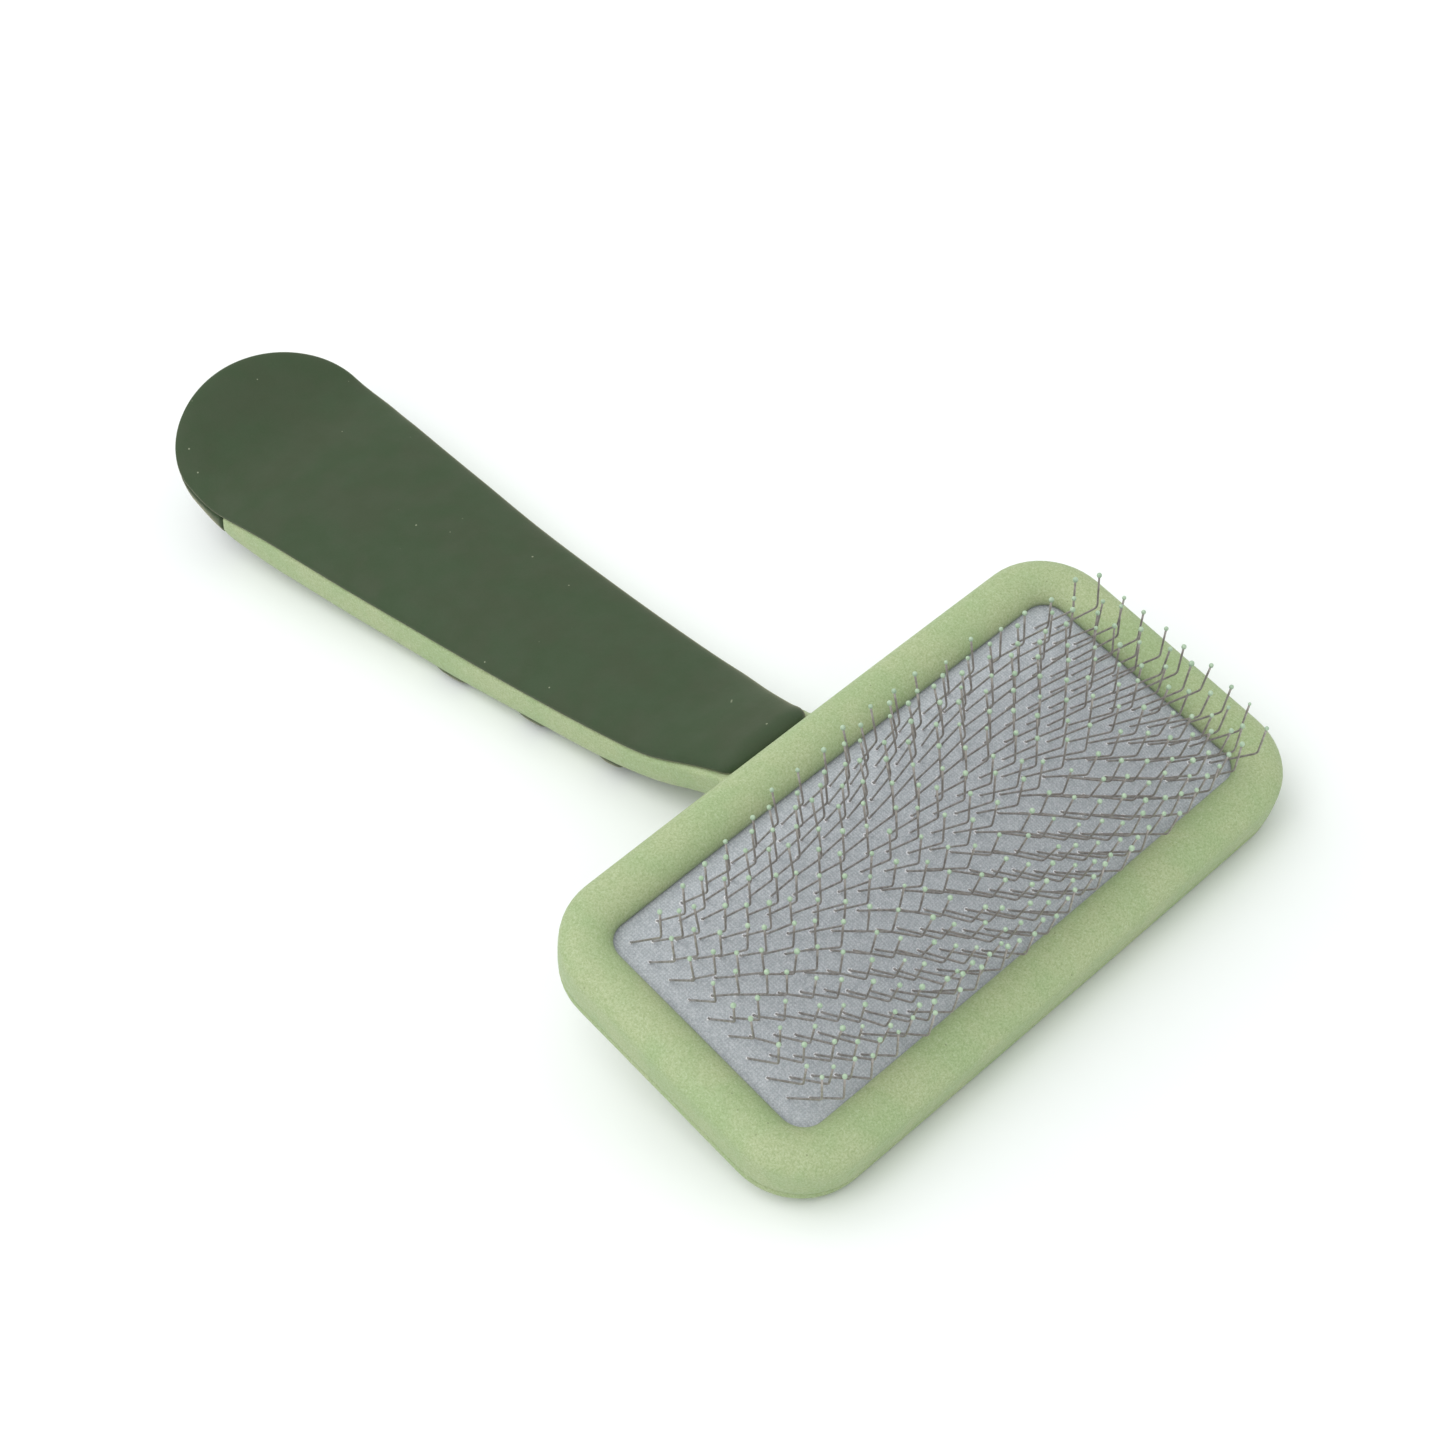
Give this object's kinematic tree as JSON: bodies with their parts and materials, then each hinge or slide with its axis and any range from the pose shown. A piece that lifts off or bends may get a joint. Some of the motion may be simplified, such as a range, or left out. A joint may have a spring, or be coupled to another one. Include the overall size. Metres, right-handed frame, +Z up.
{
  "type": "slicker brush",
  "caption": "Slicker brush for grooming pets: bent wire pins on a cushioned pad in a rounded rectangular head, with a flat soft-grip handle.",
  "frame": {"origin": "middle of the base of the brush's box, on the table the brush lies on", "axes": "+X along the handle, from its tail to the far side of the head; +Y along the head's long side; +Z up, the way the pins point when the brush lies on its back"},
  "size_m": [0.2042, 0.108, 0.0374],
  "materials": {
    "green_plastic": "satin, fine grain",
    "soft_grip": "matte",
    "pad_cloth": "matte, fine fibres",
    "pad_foam": "matte, open cells",
    "pin_wire": "drawn wire"
  },
  "bodies": {
    "root": {"handle_body": "green_plastic", "front_bezel": "green_plastic", "front_grip": "soft_grip", "back_grip": "soft_grip", "pin_cloth": "pad_cloth", "cushion_foam": "pad_foam", "pin_row_01": "pin_wire", "pin_row_02": "pin_wire", "pin_row_03": "pin_wire", "pin_row_04": "pin_wire", "pin_row_05": "pin_wire", "pin_row_06": "pin_wire", "pin_row_07": "pin_wire", "pin_row_08": "pin_wire", "pin_row_09": "pin_wire", "pin_row_10": "pin_wire", "pin_row_11": "pin_wire", "pin_row_12": "pin_wire", "pin_row_13": "pin_wire", "pin_row_14": "pin_wire", "pin_row_15": "pin_wire", "pin_row_16": "pin_wire", "pin_row_17": "pin_wire", "pin_row_18": "pin_wire"}
  },
  "joints": []
}
